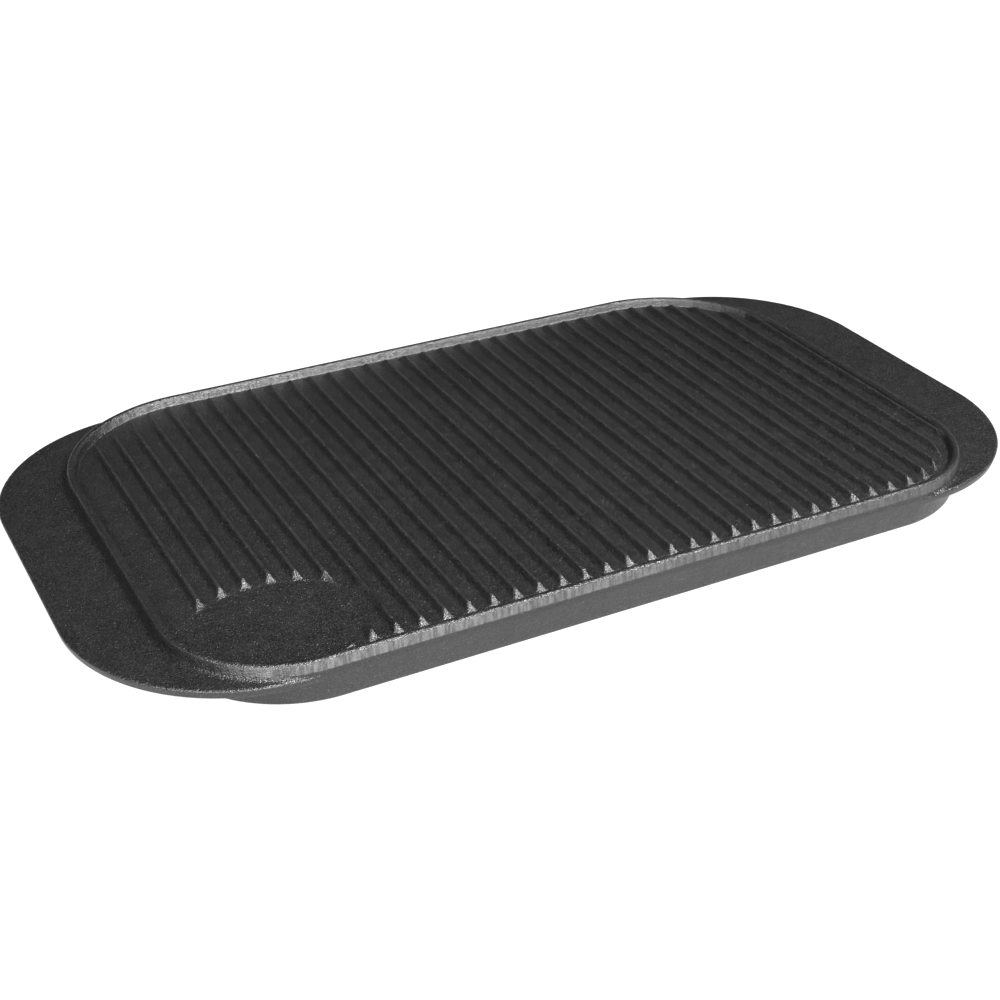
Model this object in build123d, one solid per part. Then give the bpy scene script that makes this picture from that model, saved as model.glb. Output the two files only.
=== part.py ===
from build123d import *
import os

# A cast-iron stove-top griddle plate, poured in one piece: a ribbed grilling face on top inside a raised
# rim, a flat lifting flange at each end, and a smooth griddle face recessed into the underside.
# The origin is at the middle of the plane the plate rests on, +X along its length and +Z up.
# All sizes are in millimetres.

# Overall size
LENGTH = 508.0
WIDTH = 272.0
HEIGHT = 23.5
OUTLINE_CORNER = 85.0

# Levels, measured down from the top of the rim
FLOOR_DROP = 4.5        # floor of the grooves and of the channel round the ribs
RIB_TOP_DROP = 1.0
FLANGE_TOP_DROP = 6.9
PARTING_DROP = 7.8      # the line where the two halves of the mould met
PARTING_RIDGE = 0.1     # how far that line stands out along the two long sides
FLANGE_BOTTOM_DROP = 11.4
WEB_THICKNESS = 6.5     # metal between the groove floors and the smooth face below

# Rim round the grilling face
RIM_LENGTH = 429.0      # over its outer top edge
RIM_MIDDLE = -2.5       # the rim sits a little nearer to the left end
RIM_FRONT_CORNER = 57.0
RIM_BACK_CORNER = 76.0      # the two back corners are rounder than the front ones
RIM_OUTER_LEAN = 0.6    # how far the outer face stands out at the parting line
RIM_CREST = 3.4
RIM_INNER_RUN = 1.6     # horizontal run of the inner face
CREST_ROUND = 1.2
RIM_FOOT_ROUND = 1.2

# Flanges and foot wall
FLANGE_EDGE_BEVEL = 0.8
FLANGE_ROOT_ROUND = 1.8     # hollow round where the rim rises from a flange
UNDERCUT_ROUND = 4.0        # hollow round where the foot wall drops from a flange
FOOT_LEAN = 2.8             # how far the wall leans in from the parting line to the resting face
FOOT_LENGTH = 429.6
FOOT_CORNER = 62.0
FOOT_WALL = 6.0
FOOT_EDGE_ROUND = 1.0
RECESS_LEAN = 0.8
RECESS_ROUND = 4.0

# Ribs, side by side along the length
RIB_COUNT = 35
RIB_PITCH = 11.75
FIRST_RIB = -193.9      # the leftmost rib, beside the channel that leads to the grease well
RIB_BASE = 4.6
RIB_CREST = 1.7
RIB_CREST_ROUND = 0.5
RIB_FOOT_ROUND = 2.4
RIB_END_RUN = 4.0       # horizontal run of each sloping rib end
CHANNEL_WIDTH = 3.6     # flat channel between the rib ends and the rim
BACK_CHANNEL = 1.8      # the same along the back
SINK = 1.0              # how far added features are buried in the body, to weld cleanly

# Oval clearing in the ribs at the front left corner, where grease collects
WELL_CENTRE = (-167.8, -95.5)
WELL_HALF_LENGTH = 42.6
WELL_HALF_WIDTH = 33.2

parting_z = HEIGHT - PARTING_DROP
flange_top_z = HEIGHT - FLANGE_TOP_DROP
flange_bottom_z = HEIGHT - FLANGE_BOTTOM_DROP
floor_z = HEIGHT - FLOOR_DROP
web_bottom_z = floor_z - WEB_THICKNESS
rib_height = FLOOR_DROP - RIB_TOP_DROP

rim_width = WIDTH - 2 * (PARTING_RIDGE + RIM_OUTER_LEAN)
rim_inset = RIM_CREST + RIM_INNER_RUN
foot_width = WIDTH - 2 * (PARTING_RIDGE + FOOT_LEAN)
flange_edge_draft = FOOT_LEAN * (parting_z - flange_bottom_z) / parting_z     # in line with the foot wall


def lean_angle(run, rise):
    """Draft angle, in degrees, of a wall that moves sideways by `run` over a height of `rise`."""
    return Vector(rise, 0).get_angle(Vector(rise, run))


def outline(length, width, front_corner, back_corner):
    """Rounded rectangle, with one radius at its two front corners and another at its two back corners."""
    shape = Rectangle(length, width)
    shape = fillet(shape.vertices().group_by(Axis.Y)[0], front_corner)
    return fillet(shape.vertices().group_by(Axis.Y)[-1], back_corner)


def slab(shape, bottom, rise, lean_in=0.0, lean_out=0.0):
    """Slab of an outline, whose walls lean in or out from its bottom to its top."""
    draft = lean_angle(lean_in, rise) - lean_angle(lean_out, rise)
    return Pos(0, 0, bottom) * extrude(shape, rise, taper=draft)


def casting_outline(inset):
    """Outline of the whole plate, made smaller all round."""
    corner = OUTLINE_CORNER - inset
    return outline(LENGTH - 2 * inset, WIDTH - 2 * inset, corner, corner)


def rim_outline(inset):
    """Outline of the rim's outer top edge, made smaller all round."""
    shape = outline(RIM_LENGTH - 2 * inset, rim_width - 2 * inset, RIM_FRONT_CORNER - inset, RIM_BACK_CORNER - inset)
    return Pos(RIM_MIDDLE, 0) * shape


def foot_outline(inset):
    """Outline of the resting face, made smaller all round."""
    corner = FOOT_CORNER - inset
    return outline(FOOT_LENGTH - 2 * inset, foot_width - 2 * inset, corner, corner)


def root_ring(shape, level, radius, up):
    """Ring with a hollow round, where a wall of this outline meets a flange face at `level`."""
    tip = up * radius
    section = make_face([
        Polyline((0, tip), (-SINK, tip), (-SINK, -up * SINK), (radius, -up * SINK), (radius, 0)),
        RadiusArc((radius, 0), (0, tip), up * radius)])
    front = shape.edges().sort_by(Axis.Y)[0]
    start = Plane(origin=front.position_at(0.5) + Vector(0, 0, level), x_dir=(0, -1, 0), z_dir=(-1, 0, 0))
    path = Pos(0, 0, level) * shape.wire()
    return sweep(start * section, path)


def outline_trim():
    """Tall block with the outline of the whole casting."""
    return slab(casting_outline(FLANGE_EDGE_BEVEL), 0, HEIGHT)


def foot_wall():
    """Solid lower body, widening from the resting face up to the parting line."""
    return slab(foot_outline(0), 0, parting_z, lean_out=FOOT_LEAN)


def flanges():
    """Thin plate over the whole outline: what shows of it are the two lifting flanges."""
    upper = slab(casting_outline(0), parting_z, flange_top_z - parting_z, lean_in=FLANGE_EDGE_BEVEL)
    lower = slab(casting_outline(flange_edge_draft), flange_bottom_z, parting_z - flange_bottom_z,
                 lean_out=flange_edge_draft)
    return upper + lower


def rim_block():
    """Raised block that the grilling face is sunk into, with rounded top edges."""
    return slab(rim_outline(-RIM_OUTER_LEAN), parting_z, PARTING_DROP, lean_in=RIM_OUTER_LEAN)


def grilling_hollow():
    """Space inside the rim, down to the groove floors, with a hollow round at the foot."""
    hollow = slab(rim_outline(rim_inset), floor_z, FLOOR_DROP, lean_out=RIM_INNER_RUN)
    floor_edges = hollow.faces().sort_by(Axis.Z)[0].edges()
    return fillet(floor_edges, RIM_FOOT_ROUND)


def underside_recess():
    """Hollow under the plate, whose ceiling is the smooth griddle face."""
    hollow = slab(foot_outline(FOOT_WALL), 0, web_bottom_z, lean_in=RECESS_LEAN)
    ceiling_edges = hollow.faces().sort_by(Axis.Z)[-1].edges()
    return fillet(ceiling_edges, RECESS_ROUND)


def rib(x):
    """One rib of full length, centred on `x`, with a rounded crest and hollow rounds at its feet."""
    half_base = RIB_BASE / 2
    half_crest = RIB_CREST / 2
    half_footing = (RIB_PITCH + RIB_BASE) / 4
    side = FilletPolyline(
        (-half_footing, 0), (-half_base, 0), (-half_crest, rib_height), (half_crest, rib_height),
        (half_base, 0), (half_footing, 0),
        radius=[RIB_FOOT_ROUND, RIB_CREST_ROUND, RIB_CREST_ROUND, RIB_FOOT_ROUND])
    base = Polyline((half_footing, 0), (half_footing, -SINK), (-half_footing, -SINK), (-half_footing, 0))
    profile = make_face([side, base])
    return Pos(x, 0, floor_z) * extrude(Plane.XZ * profile, WIDTH / 2, both=True)


def rib_field():
    """Region that the ribs stay inside, leaning in towards the rib tops to slope the rib ends."""
    inset = rim_inset + CHANNEL_WIDTH
    foot_out = RIB_END_RUN * SINK / rib_height
    front = -rim_width / 2 + inset - foot_out
    back = rim_width / 2 - rim_inset - BACK_CHANNEL + foot_out
    length = RIM_LENGTH - 2 * inset + 2 * foot_out
    front_corner = RIM_FRONT_CORNER - inset + foot_out
    back_corner = RIM_BACK_CORNER - rim_inset - BACK_CHANNEL + foot_out
    region = Pos(RIM_MIDDLE, (front + back) / 2) * outline(length, back - front, front_corner, back_corner)
    return slab(region, floor_z - SINK, rib_height + SINK, lean_in=RIB_END_RUN + foot_out)


def grease_well():
    """Oval cutter that clears the ribs in the front left corner, leaving them sloping ends."""
    x, y = WELL_CENTRE
    outline = Ellipse(WELL_HALF_LENGTH, WELL_HALF_WIDTH)
    lean_out = -lean_angle(RIB_END_RUN, rib_height)
    return Pos(x, y, floor_z) * extrude(outline, FLOOR_DROP, taper=lean_out)


def griddle_plate():
    """The whole casting."""
    body = foot_wall() + flanges() + rim_block()
    rim_lean = RIM_OUTER_LEAN * FLANGE_TOP_DROP / PARTING_DROP
    foot_lean = FOOT_LEAN * flange_bottom_z / parting_z
    rim_root = root_ring(rim_outline(-rim_lean), flange_top_z, FLANGE_ROOT_ROUND, 1)
    undercut = root_ring(foot_outline(-foot_lean), flange_bottom_z, UNDERCUT_ROUND, -1)
    body += (rim_root + undercut) & outline_trim()
    body -= grilling_hollow()
    body -= underside_recess()
    crest_edges = body.faces().filter_by(Axis.Z).sort_by(Axis.Z)[-1].edges()
    body = fillet(crest_edges, CREST_ROUND)
    foot_edges = body.faces().filter_by(Axis.Z).sort_by(Axis.Z)[0].outer_wire().edges()
    body = fillet(foot_edges, FOOT_EDGE_ROUND)
    *ribs, last_rib = [rib(FIRST_RIB + i * RIB_PITCH) for i in range(RIB_COUNT)]
    ribs = (Compound(ribs) & rib_field()) - grease_well()
    last_rib = last_rib & slab(rim_outline(RIM_CREST), floor_z - SINK, FLOOR_DROP)
    return body + ribs + last_rib


plate = griddle_plate()
plate.label = "griddle_plate"

os.makedirs("parts", exist_ok=True)
export_step(plate, "parts/griddle_plate.step")
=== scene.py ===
import math

import bmesh
import bpy
import numpy as np
from mathutils import Matrix, Vector


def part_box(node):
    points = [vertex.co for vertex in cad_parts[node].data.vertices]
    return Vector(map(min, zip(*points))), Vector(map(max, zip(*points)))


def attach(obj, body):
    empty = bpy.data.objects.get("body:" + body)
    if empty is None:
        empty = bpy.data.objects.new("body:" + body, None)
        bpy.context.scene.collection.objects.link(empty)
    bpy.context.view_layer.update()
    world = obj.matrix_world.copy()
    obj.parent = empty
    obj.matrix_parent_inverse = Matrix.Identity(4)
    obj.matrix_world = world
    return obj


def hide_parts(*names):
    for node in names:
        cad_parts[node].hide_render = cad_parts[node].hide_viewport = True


# A one-piece cast-iron griddle plate: ribs inside a raised rim, with a flange at each end.
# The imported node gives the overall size. The piece modelled here has the same shape with the detail of a
# sand casting added: softened edges, rib ends and a rim top that waver, a parting line and a grainy skin.
# Lengths are in millimetres until the mesh is made, and angles are in degrees.

MM = 0.001

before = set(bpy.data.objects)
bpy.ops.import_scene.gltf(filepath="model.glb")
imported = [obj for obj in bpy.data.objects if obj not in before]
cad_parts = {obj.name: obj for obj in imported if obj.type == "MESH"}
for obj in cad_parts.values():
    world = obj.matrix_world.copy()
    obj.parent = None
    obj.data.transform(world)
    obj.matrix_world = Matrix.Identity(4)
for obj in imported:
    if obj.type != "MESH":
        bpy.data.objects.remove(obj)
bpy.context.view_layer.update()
low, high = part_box("griddle_plate")
LENGTH, WIDTH, HEIGHT = (high - low) / MM

# Levels above the plane that the plate rests on
PARTING = HEIGHT - 7.8
FLANGE_TOP = HEIGHT - 6.9
FLANGE_BOTTOM = HEIGHT - 11.4
FLOOR = HEIGHT - 4.5
SMOOTH_FACE = FLOOR - 6.5
RIB_HEIGHT = 3.5

# Rim, flanges and foot wall
RIM_OUTER_LEAN = 0.6
RIM_CREST = 3.4
RIM_INNER_RUN = 1.6
CREST_ROUND = 1.5
CREST_DROP = 3.5        # from the top of the rim down to where its outer face is plain
ROOT_ROUND = 1.8
FLANGE_BEVEL = 0.8
FLANGE_DRAFT = 0.6
UNDERCUT_ROUND = 4.0
FOOT_LEAN = 2.8
FOOT_WALL = 6.0
FOOT_ROUND = 1.0
RECESS_LEAN = 0.8
RECESS_ROUND = 4.0

# Outlines: half length, half width, radius of the front corners, radius of the back corners, middle's X
OUTLINE = (LENGTH / 2, WIDTH / 2, 85.0, 85.0, 0.0)
RIM = (214.5, WIDTH / 2 - RIM_OUTER_LEAN, 57.0, 76.0, -2.5)
FOOT = (214.8, WIDTH / 2 - FOOT_LEAN, 62.0, 62.0, 0.0)

# Ribs
RIB_COUNT = 35
RIB_PITCH = 11.75
FIRST_RIB = -193.9      # X of the leftmost rib, beside the channel that leads to the grease well
RIB_HALF_BASE = 2.3
RIB_HALF_CREST = 0.85
RIB_END_RUN = 4.0
CHANNEL = 3.6
BACK_CHANNEL = 1.8
INNER_RING = 6.0        # the ring where the rib lines meet the rim's rings, inward from the rim's edge

# Oval grease well
WELL_CENTRE = (-167.8, -95.5)
WELL_HALF = (42.6, 33.2)

# How softly surfaces run into each other: the reach of each rounding
RIB_CREST_REACH = 0.9
RIB_FOOT_REACH = 3.0
RIB_END_REACH = 0.8
RIM_CREST_REACH = 1.6
RIM_FOOT_REACH = 0.7
FLANGE_LOWER_ROUND = 0.9

# How far a sand casting strays from true, and over what length it does so
RIB_END_WAVER = (0.35, 60)
RIB_TOP_WAVER = (0.10, 130)
RIM_TOP_WAVER = (0.08, 90)

# Where mesh lines lie, closest together where the surface bends most
RIB_STEPS = (-3.9, -3.1, -2.4, -1.8, -1.2, -0.7, 0, 0.7, 1.2, 1.8, 2.4, 3.1, 3.9, RIB_PITCH / 2)
FRONT_STEPS = (0, 0.8, 1.6, 2.3, 3.0, 3.8, 4.6, 5.4, 6.2, 6.9, 7.7, 9.4)    # back from a line's front end
BACK_STEPS = (7.6, 6.1, 5.2, 4.5, 3.9, 3.2, 2.5, 1.8, 1.2, 0.7, 0.3, 0)     # forward from its back end
LIP_STEPS = (-4.4, -3.2, -2.4, -1.6, -0.8, 0, 0.8, 1.6, 2.4, 3.4)           # across the well's back lip
RIM_STEPS = (5.6, 5.3, 5.0, 4.7, 4.3, 3.9, 3.5, 3.1, 2.7, 2.3, 1.9, 1.4, 1.0, 0.65, 0.35, 0.12, 0)
PLAIN_SHARES = (0, 0.3135, 0.6365)      # of the plain top of a flange, from the rim outward
FLANGE_TOP_MARGIN = 0.6                 # between its last two rings
FOOT_LEVELS = (7.0, 3.5, FOOT_ROUND)
MOUTH_STEPS = ((0.5, 0), (0.15, 0.15), (0, 0.5))        # over the recess's edge: outward, up
BEVEL_STEPS = ((0.0, 0.10), (0.35, 0.25), (0.7, 0.52), (0.92, 0.78))        # shares of the bevel: out, down
LONG_ROWS = 12          # rows on either side of the well's lip
WELD = 0.004            # points nearer to each other than this are one point
UNDERCUT_MARGIN = 0.02  # keeps the undercut's rings apart where a flange runs out


# Shape functions

def smooth_min(a, b, reach):
    """The lower of two heights, rounded where they cross."""
    mix = np.clip(0.5 + 0.5 * (b - a) / reach, 0, 1)
    return b * (1 - mix) + a * mix - reach * mix * (1 - mix)


def smooth_max(a, b, reach):
    """The higher of two heights, rounded where they cross."""
    return -smooth_min(-a, -b, reach)


def depth_inside(x, y, outline):
    """Distance inside a rounded rectangle's outline, negative outside it."""
    half_x, half_y, front, back, middle_x = outline
    corner = np.where(y < 0, front, back)
    along = np.abs(x - middle_x) - (half_x - corner)
    across = np.abs(y) - (half_y - corner)
    beyond = np.hypot(np.maximum(along, 0), np.maximum(across, 0))
    return corner - beyond - np.minimum(np.maximum(along, across), 0)


def inset(outline, by):
    """An outline made smaller all round."""
    return (*(size - by for size in outline[:4]), outline[4])


def waver(x, y, size, seed):
    """Slow uneven drift of a hand-moulded surface, given its height and length."""
    height, length = size
    total = 0
    for k in range(1, 5):
        angle = 2.4 * k + seed
        wave = math.cos(angle) * x + math.sin(angle) * y
        total = total + np.sin(2 * math.pi * wave * k ** 0.7 / length + 1.7 * seed * k) / k ** 0.5
    return height * total / 2.6


def rib_profile(x):
    """Height of the ribs' cross-section at x, before their ends are cut."""
    number = np.clip(np.round((x - FIRST_RIB) / RIB_PITCH), 0, RIB_COUNT - 1)
    off_centre = np.abs(x - FIRST_RIB - number * RIB_PITCH)
    flank = RIB_HEIGHT * (RIB_HALF_BASE - off_centre) / (RIB_HALF_BASE - RIB_HALF_CREST)
    crown = RIB_HEIGHT - 0.12 * (off_centre / RIB_HALF_CREST) ** 2
    return smooth_max(smooth_min(flank, crown, RIB_CREST_REACH), 0 * x, RIB_FOOT_REACH)


def rib_height(x, y):
    """Height of the ribbed surface above the groove floors."""
    slope = RIB_HEIGHT / RIB_END_RUN
    uneven = waver(x, y, RIB_END_WAVER, 1)
    front_field = inset(RIM, RIM_CREST + RIM_INNER_RUN + CHANNEL)
    back_field = inset(RIM, RIM_CREST + RIM_INNER_RUN + BACK_CHANNEL)
    front_ramp = depth_inside(x, np.minimum(y, 0), front_field)
    back_ramp = depth_inside(x, np.maximum(y, 0), back_field)
    ramp = (np.where(y > 0, back_ramp, front_ramp) + uneven) * slope
    beside_rim = x > FIRST_RIB + (RIB_COUNT - 1.5) * RIB_PITCH
    ramp = np.where(beside_rim, RIB_HEIGHT + 2, ramp)
    well_x = (x - WELL_CENTRE[0]) / WELL_HALF[0]
    well_y = (y - WELL_CENTRE[1]) / WELL_HALF[1]
    well = (np.hypot(well_x, well_y) - 1) * (WELL_HALF[0] + WELL_HALF[1]) / 2
    profile = rib_profile(x)
    height = profile + waver(x, y, RIB_TOP_WAVER, 2) * (profile > 0.3)
    height = smooth_min(height, ramp, RIB_END_REACH)
    height = smooth_min(height, (well + uneven) * slope, RIB_END_REACH)
    return smooth_max(height, 0 * x, RIB_END_REACH)


# Mesh lines

def rib_lines():
    """X of the mesh lines along the ribs, spread round the end corners."""
    lines = [FIRST_RIB - RIB_PITCH / 2]
    for number in range(RIB_COUNT):
        lines += [FIRST_RIB + number * RIB_PITCH + step for step in RIB_STEPS]
    ring = inset(RIM, INNER_RING)
    lines = np.array([x for x in lines if x < ring[4] + ring[0] - 0.4])
    left = corner_lines(ring, ring[4] - lines[0], 12)
    right = corner_lines(ring, lines[-1] - ring[4], 4)
    return np.concatenate([ring[4] - left[::-1], lines, ring[4] + right])


def corner_lines(ring, start, count):
    """Distances from the ring's middle that divide what is left of a corner past `start` into even turns."""
    corner_x = ring[0] - ring[2]
    turn = np.linspace(math.asin((start - corner_x) / ring[2]), math.pi / 2, count)[1:]
    return corner_x + ring[2] * np.sin(turn)


def cross_lines(x):
    """Y of the mesh points along each line: dense at the rib ends and round the well, sparse between."""
    front_end, front_stretch = line_end(x, 2)
    back_end, back_stretch = line_end(x, 3)
    front = -front_end + front_stretch * np.array(FRONT_STEPS)
    back = back_end - back_stretch * np.array(BACK_STEPS)
    across = np.clip((x[:, None] - WELL_CENTRE[0]) / (WELL_HALF[0] + 2), -1, 1)
    lip = WELL_CENTRE[1] + (WELL_HALF[1] + 2) * np.sqrt(1 - across ** 2)
    lip = np.clip(lip, front[:, -1:] + 8, back[:, :1] - 8)
    lip = lip + np.array(LIP_STEPS)
    well = between(front[:, -1:], lip[:, :1], LONG_ROWS)
    middle = between(lip[:, -1:], back[:, :1], LONG_ROWS)
    return np.concatenate([front, well, lip, middle, back], axis=1)


def line_end(x, side):
    """Y where each line meets the innermost ring, and how much a slanting crossing is stretched there."""
    ring = inset(RIM, INNER_RING)
    corner = ring[side]
    round_x = np.clip(np.abs(x - ring[4]) - (ring[0] - corner), 0, corner)[:, None]
    rise = np.sqrt(np.maximum(corner ** 2 - round_x ** 2, 0))
    return ring[1] - corner + rise, 1 / np.maximum(rise / corner, 0.45)


def between(start, stop, count):
    """Evenly spaced positions between two others, without either."""
    return start + (stop - start) * np.arange(1, count + 1) / (count + 1)


# Rings round the casting. A station is a place on the innermost ring, with its own direction outward.

def reach(origin, direction, outline):
    """Distance from each origin to a rounded rectangle's outline, along each direction."""
    near = np.zeros(len(origin))
    far = np.full(len(origin), LENGTH)
    for _ in range(40):
        middle = (near + far) / 2
        point = origin + direction * middle[:, None]
        is_inside = depth_inside(point[:, 0], point[:, 1], outline) > 0
        near = np.where(is_inside, middle, near)
        far = np.where(is_inside, far, middle)
    return near


def turn_steps(count, first, last):
    """Sines and cosines at steps `first` to `last` of a quarter turn divided into `count` even steps."""
    turn = np.arange(first, last + 1) * math.pi / 2 / count
    return list(zip(np.sin(turn), np.cos(turn)))


def rim_wall(edge, height):
    """Distance out to the rim's outer face at a height."""
    return edge + RIM_OUTER_LEAN * (HEIGHT - height) / (HEIGHT - PARTING)


def foot_face(origin, direction, height):
    """Distance out to the foot wall's outer face at a height."""
    return reach(origin, direction, inset(FOOT, -FOOT_LEAN * height / PARTING))


def rim_rings(origin, direction, edge):
    """Rings from the ribs' edge over the rim's crest to its outer top edge."""
    foot = RIM_CREST + RIM_INNER_RUN
    rings = []
    for inward in RIM_STEPS:
        point = origin + direction * (edge - inward)[:, None]
        inner_face = FLOOR + (HEIGHT - FLOOR) * (foot - inward) / RIM_INNER_RUN
        crown = HEIGHT - 0.5 * ((inward - RIM_CREST / 2) / RIM_CREST) ** 2
        height = smooth_min(inner_face, crown + 0 * edge, RIM_CREST_REACH)
        height = smooth_max(height, FLOOR + rib_height(point[:, 0], point[:, 1]), RIM_FOOT_REACH)
        if inward < CREST_ROUND:
            height = height - CREST_ROUND + math.sqrt(CREST_ROUND ** 2 - (CREST_ROUND - inward) ** 2)
        height = height - RIM_TOP_WAVER[0] - waver(point[:, 0], point[:, 1], RIM_TOP_WAVER, 3)
        rings.append((edge - inward, height))
    return rings


def flange_rings(edge, top_edge):
    """Rings down the rim's outer face, round the hollow at its root and out over the flange."""
    level = np.ones(len(edge))
    room = top_edge - rim_wall(edge, FLANGE_TOP)
    root = np.minimum(ROOT_ROUND, room)
    plain = room - root
    wall_top = HEIGHT - CREST_DROP
    rings = [(rim_wall(edge, wall_top), wall_top * level)]
    for sine, cosine in turn_steps(4, 0, 4):
        height = FLANGE_TOP + root * (1 - sine)
        rings.append((rim_wall(edge, height) + root * (1 - cosine), height))
    for share in PLAIN_SHARES:
        rings.append((rim_wall(edge, FLANGE_TOP) + root + share * plain, FLANGE_TOP * level))
    rings.append((top_edge - np.minimum(FLANGE_TOP_MARGIN, plain / 2), FLANGE_TOP * level))
    return rings


def flange_edge_rings(origin, direction, edge, top_edge):
    """Rings over the flange's edge, past the parting line and in under the flange to the foot wall."""
    level = np.ones(len(edge))
    widest = reach(origin, direction, OUTLINE)
    has_flange = np.clip(top_edge - rim_wall(edge, FLANGE_TOP), 0, 1)
    rings = []
    for out, down in BEVEL_STEPS:
        height = FLANGE_TOP - (FLANGE_TOP - PARTING) * down
        proud = np.maximum(top_edge + (widest - top_edge) * out - rim_wall(edge, height), 0)
        rings.append((rim_wall(edge, height) + proud * has_flange, height * level))
    rings.append((widest, PARTING * level))

    lower_edge = reach(origin, direction, inset(OUTLINE, FLANGE_DRAFT))
    middle = (PARTING + FLANGE_BOTTOM + FLANGE_LOWER_ROUND) / 2
    distance = np.maximum((widest + lower_edge) / 2, foot_face(origin, direction, middle))
    rings.append((distance, middle * level))
    room = np.maximum(lower_edge - foot_face(origin, direction, FLANGE_BOTTOM), 0)
    soften = np.minimum(FLANGE_LOWER_ROUND, room / 2)
    for sine, cosine in turn_steps(3, 0, 3):
        height = FLANGE_BOTTOM + soften * (1 - sine)
        distance = np.maximum(lower_edge - soften * (1 - cosine), foot_face(origin, direction, height))
        rings.append((distance, height))
    undercut = np.minimum(UNDERCUT_ROUND, room - soften)
    for sine, cosine in turn_steps(6, 0, 6):
        height = FLANGE_BOTTOM - (undercut + UNDERCUT_MARGIN) * (1 - cosine)
        rings.append((foot_face(origin, direction, height) + undercut * (1 - sine), height))
    return rings


def foot_rings(origin, direction):
    """Rings down the foot wall and round its lower edge."""
    level = np.ones(len(origin))
    rings = [(foot_face(origin, direction, height), height * level) for height in FOOT_LEVELS]
    for sine, cosine in turn_steps(3, 1, 2):
        distance = foot_face(origin, direction, 0) - FOOT_ROUND * (1 - cosine)
        rings.append((distance, FOOT_ROUND * (1 - sine) * level))
    return rings


def under_rings(origin, direction):
    """Rings across the resting face and up into the recess of the smooth face below."""
    level = np.ones(len(origin))
    mouth = reach(origin, direction, inset(FOOT, FOOT_WALL))
    outer = reach(origin, direction, FOOT)
    rings = [(outer - FOOT_ROUND, 0 * level)]
    rings += [(mouth + out, up * level) for out, up in MOUTH_STEPS]
    start = SMOOTH_FACE - RECESS_ROUND
    rings.append((mouth - RECESS_LEAN * start / SMOOTH_FACE, start * level))
    for sine, cosine in turn_steps(5, 1, 5):
        height = start + RECESS_ROUND * sine
        rings.append((mouth - RECESS_LEAN - RECESS_ROUND * (1 - cosine), height * level))
    return rings


def stations(x, y):
    """Origins and directions of the rings, anticlockwise from the front left: front, right, back, left."""
    last = y.shape[1] - 1
    front = [(i, 0) for i in range(len(x))]
    right = [(len(x) - 1, j) for j in range(1, last)]
    back = [(i, last) for i in range(len(x) - 1, -1, -1)]
    left = [(0, j) for j in range(last - 1, 0, -1)]
    order = np.array(front + right + back + left)
    points = np.stack([x[order[:, 0]], y[order[:, 0], order[:, 1]]], axis=1)
    radius = np.where(points[:, 1] < 0, RIM[2], RIM[3])
    corner = np.array(RIM[:2]) - radius[:, None]
    middle = np.array([RIM[4], 0])
    origin = middle + np.clip(points - middle, -corner, corner)
    outward = points - origin
    direction = outward / np.linalg.norm(outward, axis=1)[:, None]
    return order, origin, direction


def casting_mesh():
    """The whole casting as one closed mesh."""
    x = rib_lines()
    y = cross_lines(x)
    columns, rows = y.shape
    grid_x = np.repeat(x[:, None], rows, axis=1)
    grid_z = FLOOR + rib_height(grid_x, y)
    points = [np.stack([grid_x.ravel(), y.ravel(), grid_z.ravel()], axis=1)]
    number = np.arange(columns * rows).reshape(columns, rows)
    quads = np.stack([number[:-1, :-1], number[1:, :-1], number[1:, 1:], number[:-1, 1:]], -1)
    faces = list(quads.reshape(-1, 4))

    order, origin, direction = stations(x, y)
    edge = reach(origin, direction, RIM)
    flange_edge = reach(origin, direction, inset(OUTLINE, FLANGE_BEVEL))
    top_edge = np.maximum(flange_edge, rim_wall(edge, FLANGE_TOP))
    rings = rim_rings(origin, direction, edge)
    rings += flange_rings(edge, top_edge)
    rings += flange_edge_rings(origin, direction, edge, top_edge)
    rings += foot_rings(origin, direction)
    rings += under_rings(origin, direction)
    inner = number[order[:, 0], order[:, 1]]
    count = columns * rows
    for distance, height in rings:
        spot = origin + direction * distance[:, None]
        points.append(np.column_stack([spot, height + np.zeros(len(spot))]))
        outer = count + np.arange(len(spot))
        count += len(spot)
        faces += list(np.stack([inner, outer, np.roll(outer, -1), np.roll(inner, -1)], -1))
        inner = outer
    front = inner[:columns]
    back = inner[columns + rows - 2:2 * columns + rows - 2][::-1]
    faces += list(np.stack([front[:-1], back[:-1], back[1:], front[1:]], -1))
    right = inner[columns - 1:columns + rows - 1]
    left = np.concatenate([inner[2 * columns + rows - 3:], inner[:1]])
    mesh = bpy.data.meshes.new("griddle_casting")
    closing = [list(right), list(left)]
    mesh.from_pydata((np.concatenate(points) * MM).tolist(), [], [list(map(int, f)) for f in faces] + closing)
    weld(mesh)
    return mesh


def weld(mesh):
    """Joins the points of rings that meet where the flanges run out, so that no face is left without area."""
    shell = bmesh.new()
    shell.from_mesh(mesh)
    bmesh.ops.remove_doubles(shell, verts=shell.verts, dist=WELD * MM)
    shell.to_mesh(mesh)
    shell.free()
    mesh.update()


# Material

def node(tree, kind, inputs=None, **settings):
    """A shader node with its settings and socket values; a socket given an output is linked to it."""
    made = tree.nodes.new(kind)
    for name, value in settings.items():
        setattr(made, name, value)
    for name, value in (inputs or {}).items():
        if isinstance(value, bpy.types.NodeSocket):
            tree.links.new(value, made.inputs[name])
        else:
            made.inputs[name].default_value = value
    return made


def math_node(tree, operation, *values):
    """Output of a shader sum."""
    return node(tree, "ShaderNodeMath", dict(enumerate(values)), operation=operation).outputs[0]


def ramp(tree, value, low_in, high_in, low_out=0.0, high_out=1.0):
    """Remaps a value smoothly between two limits."""
    inputs = {"Value": value, "From Min": low_in, "From Max": high_in, "To Min": low_out, "To Max": high_out}
    return node(tree, "ShaderNodeMapRange", inputs, interpolation_type="SMOOTHSTEP").outputs[0]


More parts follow.
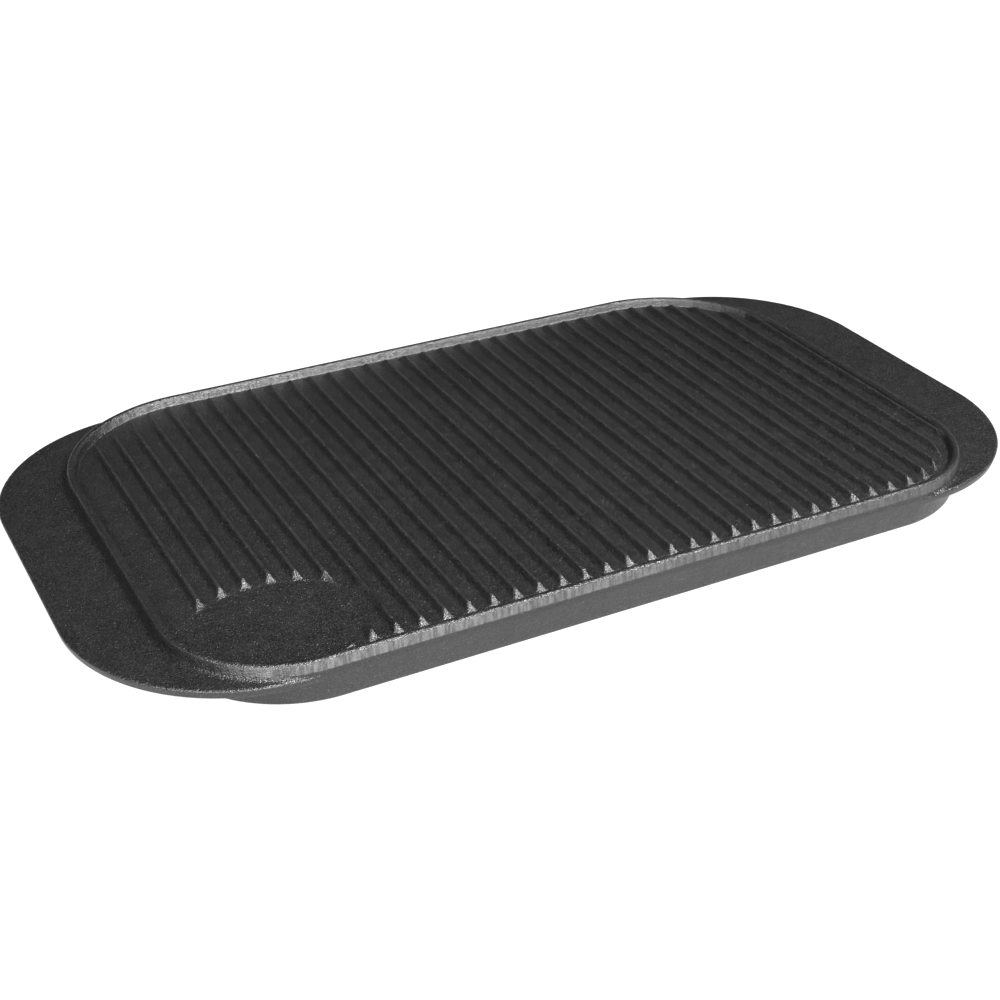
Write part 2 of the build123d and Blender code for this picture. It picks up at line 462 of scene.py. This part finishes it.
def noise(tree, vector, scale, detail=3.0, roughness=0.55):
    """Even three-dimensional noise, with `scale` features to the metre."""
    inputs = {"Vector": vector, "Scale": scale, "Detail": detail, "Roughness": roughness}
    return node(tree, "ShaderNodeTexNoise", inputs).outputs[0]


def blend_colours(tree, share, first, second):
    """The first colour where the share is 0, and the second where it is 1."""
    mixer = tree.nodes.new("ShaderNodeMix")
    mixer.data_type = "RGBA"
    sockets = (mixer.inputs[0], mixer.inputs[6], mixer.inputs[7])
    for socket, value in zip(sockets, (share, first, second)):
        if isinstance(value, bpy.types.NodeSocket):
            tree.links.new(value, socket)
        else:
            socket.default_value = value
    return mixer.outputs[2]


def grey(value, warmth=0.0):
    """A grey of this brightness, a little redder than blue where it is warm."""
    return (value * (1 + warmth), value, value * (1 - warmth), 1)


def product(tree, *values):
    """All the values multiplied together."""
    total = values[0]
    for value in values[1:]:
        total = math_node(tree, "MULTIPLY", total, value)
    return total


def ground_band_and_painted_highlight(tree, height, along, facing_y):
    """Where the rim's faces along the two long sides are ground, and painted lighter there as a highlight,
    most of all towards the left end.
    """
    long_side = ramp(tree, math_node(tree, "ABSOLUTE", facing_y), 0.60, 0.95)
    above_foot = ramp(tree, height, HEIGHT - 5.7, HEIGHT - 4.9)
    below_crest = ramp(tree, height, HEIGHT - 0.3, HEIGHT - 1.3)
    # Painted light falloff: the painted highlight is strongest at the left end and weakens to the right
    highlight_falloff = ramp(tree, along, 230, -190, 0.35, 1.0)
    return product(tree, long_side, above_foot, below_crest, highlight_falloff)


def worn_tops_and_crest_highlight(tree, height, place):
    """Where the rib tops are worn, in patches, in a thin band along the crests that is also a painted
    highlight.
    """
    low_limit = ramp(tree, height, HEIGHT - 1.6, HEIGHT - 1.0)
    high_limit = ramp(tree, height, HEIGHT - 0.3, HEIGHT - 0.75)
    worn = ramp(tree, noise(tree, place, 160, 4.0, 0.75), 0.30, 0.62)
    return product(tree, low_limit, high_limit, worn)


def cast_iron():
    """Black seasoned cast iron: sandy grain, bright specks painted in as glints, a ground band lightened as a
    painted highlight and lightly rubbed rib tops with a painted crest highlight.
    """
    material = bpy.data.materials.new("seasoned_cast_iron")
    material.use_nodes = True
    tree = material.node_tree
    shader = tree.nodes["Principled BSDF"]
    place = node(tree, "ShaderNodeTexCoord").outputs["Object"]
    axes = node(tree, "ShaderNodeSeparateXYZ", {0: place})
    facing = node(tree, "ShaderNodeSeparateXYZ", {0: node(tree, "ShaderNodeNewGeometry").outputs["Normal"]})
    height = math_node(tree, "MULTIPLY", axes.outputs["Z"], 1 / MM)
    along = math_node(tree, "MULTIPLY", axes.outputs["X"], 1 / MM)
    ground_and_highlight_mask = ground_band_and_painted_highlight(tree, height, along, facing.outputs["Y"])
    wear_and_crest_highlight = worn_tops_and_crest_highlight(tree, height, place)

    sand = noise(tree, place, 1250, 1.0, 0.6)
    grain = noise(tree, place, 420, 3.0, 0.6)
    patches = noise(tree, place, 26, 3.0)
    blotches = noise(tree, place, 110, 2.0)
    drawn_out = node(tree, "ShaderNodeMapping", {"Vector": place, "Scale": (1, 1, 0.10)}).outputs[0]
    streaks = noise(tree, drawn_out, 420, 3.0, 0.7)
    # Bright specks painted into the colour as glints on the grain
    painted_glint_specks = ramp(tree, noise(tree, place, 1500, 1.0, 0.5), 0.71, 0.78)

    colour = blend_colours(tree, ramp(tree, sand, 0.34, 0.66), grey(0.0005), grey(0.013, 0.01))
    colour = blend_colours(tree, ramp(tree, patches, 0.35, 0.7, 0.0, 0.35), colour, grey(0.012, 0.02))
    # Grey of the ground streaks, lightened on the long sides' faces as a painted highlight
    ground_and_highlight_grey = blend_colours(tree, ramp(tree, streaks, 0.36, 0.64), grey(0.045), grey(0.14))
    colour = blend_colours(tree, product(tree, ground_and_highlight_mask, 0.85), colour, ground_and_highlight_grey)
    # Rib tops: worn patches, lightened along the crests as a painted highlight
    colour = blend_colours(tree, product(tree, wear_and_crest_highlight, 0.3), colour, grey(0.045))
    # Painted glints: bright specks over the whole casting
    colour = blend_colours(tree, product(tree, painted_glint_specks, 0.4), colour, grey(0.40))
    tree.links.new(colour, shader.inputs["Base Color"])

    rough = ramp(tree, grain, 0.25, 0.75, 0.44, 0.32)
    rough = math_node(tree, "SUBTRACT", rough, product(tree, wear_and_crest_highlight, 0.08))
    rough = math_node(tree, "SUBTRACT", rough, product(tree, painted_glint_specks, 0.15))
    rough = math_node(tree, "ADD", rough, ramp(tree, blotches, 0.3, 0.7, -0.03, 0.04))
    tree.links.new(rough, shader.inputs["Roughness"])
    shader.inputs["IOR"].default_value = 1.65

    relief = math_node(tree, "ADD", product(tree, grain, 0.7), product(tree, sand, 1.3))
    relief = math_node(tree, "ADD", relief, product(tree, blotches, 0.8))
    relief = math_node(tree, "ADD", relief, product(tree, streaks, 0.6))
    bump = node(tree, "ShaderNodeBump", {"Height": relief, "Strength": 0.72, "Distance": 0.0005})
    tree.links.new(bump.outputs[0], shader.inputs["Normal"])
    return material


def griddle_plate():
    """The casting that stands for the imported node."""
    piece = bpy.data.objects.new("griddle_casting", casting_mesh())
    bpy.context.scene.collection.objects.link(piece)
    piece.data.polygons.foreach_set("use_smooth", [True] * len(piece.data.polygons))
    piece.data.materials.append(cast_iron())
    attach(piece, "root")
    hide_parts("griddle_plate")
    return piece


# Studio

def floor():
    """Pale tabletop under the plate."""
    mesh = bpy.data.meshes.new("tabletop")
    half = 4.0
    corners = [(-half, -half, 0), (half, -half, 0), (half, half, 0), (-half, half, 0)]
    mesh.from_pydata(corners, [], [(0, 1, 2, 3)])
    table = bpy.data.objects.new("tabletop", mesh)
    bpy.context.scene.collection.objects.link(table)
    material = bpy.data.materials.new("pale_tabletop")
    material.use_nodes = True
    shader = material.node_tree.nodes["Principled BSDF"]
    shader.inputs["Base Color"].default_value = (0.12, 0.12, 0.12, 1)
    shader.inputs["Roughness"].default_value = 0.9
    shader.inputs["Specular IOR Level"].default_value = 0.1
    shader.inputs["Emission Color"].default_value = (1, 1, 1, 1)
    shader.inputs["Emission Strength"].default_value = 0.97
    mesh.materials.append(material)


def softbox(name, direction, distance, width, height, power):
    """Rectangular studio light, aimed at the plate from one direction."""
    lamp = bpy.data.lights.new(name, "AREA")
    lamp.shape = "RECTANGLE"
    lamp.size = width
    lamp.size_y = height
    lamp.energy = power
    light = bpy.data.objects.new(name, lamp)
    bpy.context.scene.collection.objects.link(light)
    aim = Vector(direction).normalized()
    light.location = aim * distance
    light.rotation_euler = aim.to_track_quat("Z", "Y").to_euler()


def room():
    """Dim room light, with a pale backdrop for low views."""
    world = bpy.data.worlds.new("room")
    world.use_nodes = True
    tree = world.node_tree
    seen = tree.nodes.new("ShaderNodeLightPath").outputs["Is Camera Ray"]
    strength = ramp(tree, seen, 0.0, 1.0, 0.08, 1.0)
    tree.nodes["Background"].inputs["Color"].default_value = (1, 1, 1, 1)
    tree.links.new(strength, tree.nodes["Background"].inputs["Strength"])
    bpy.context.scene.world = world


def studio():
    """Floor, room light and three softboxes, under the plain Standard view."""
    floor()
    room()
    softbox("key", (0.28, -0.45, 0.85), 2.4, 1.0, 1.0, 145)
    softbox("front_fill", (-0.35, -1.0, 0.20), 1.6, 2.4, 0.6, 11)
    softbox("left_glint", (-0.64, -0.60, 0.46), 1.6, 0.6, 0.6, 24)
    bpy.context.scene.view_settings.view_transform = "Standard"


CAMERA_PLACE = (-361.0, -676.5, 429.4)
CAMERA_HEADING = 27.52      # degrees, from +Y towards +X
CAMERA_PITCH = 29.92        # degrees below level
CAMERA_ROLL = -0.05
CAMERA_LENS = 59.99         # mm on a 36 mm sensor


def camera():
    """Camera at the viewing angle of a product shot, low over the corner with the grease well."""
    data = bpy.data.cameras.new("camera")
    data.sensor_width = 36.0
    data.lens = CAMERA_LENS
    data.clip_start = 0.01
    view = bpy.data.objects.new("camera", data)
    bpy.context.scene.collection.objects.link(view)
    turn = Matrix.Rotation(-math.radians(CAMERA_HEADING), 4, "Z")
    tilt = Matrix.Rotation(math.radians(90 - CAMERA_PITCH), 4, "X")
    roll = Matrix.Rotation(math.radians(CAMERA_ROLL), 4, "Z")
    view.matrix_world = Matrix.Translation(Vector(CAMERA_PLACE) * MM) @ turn @ tilt @ roll
    bpy.context.scene.camera = view


camera()
studio()
griddle_plate()
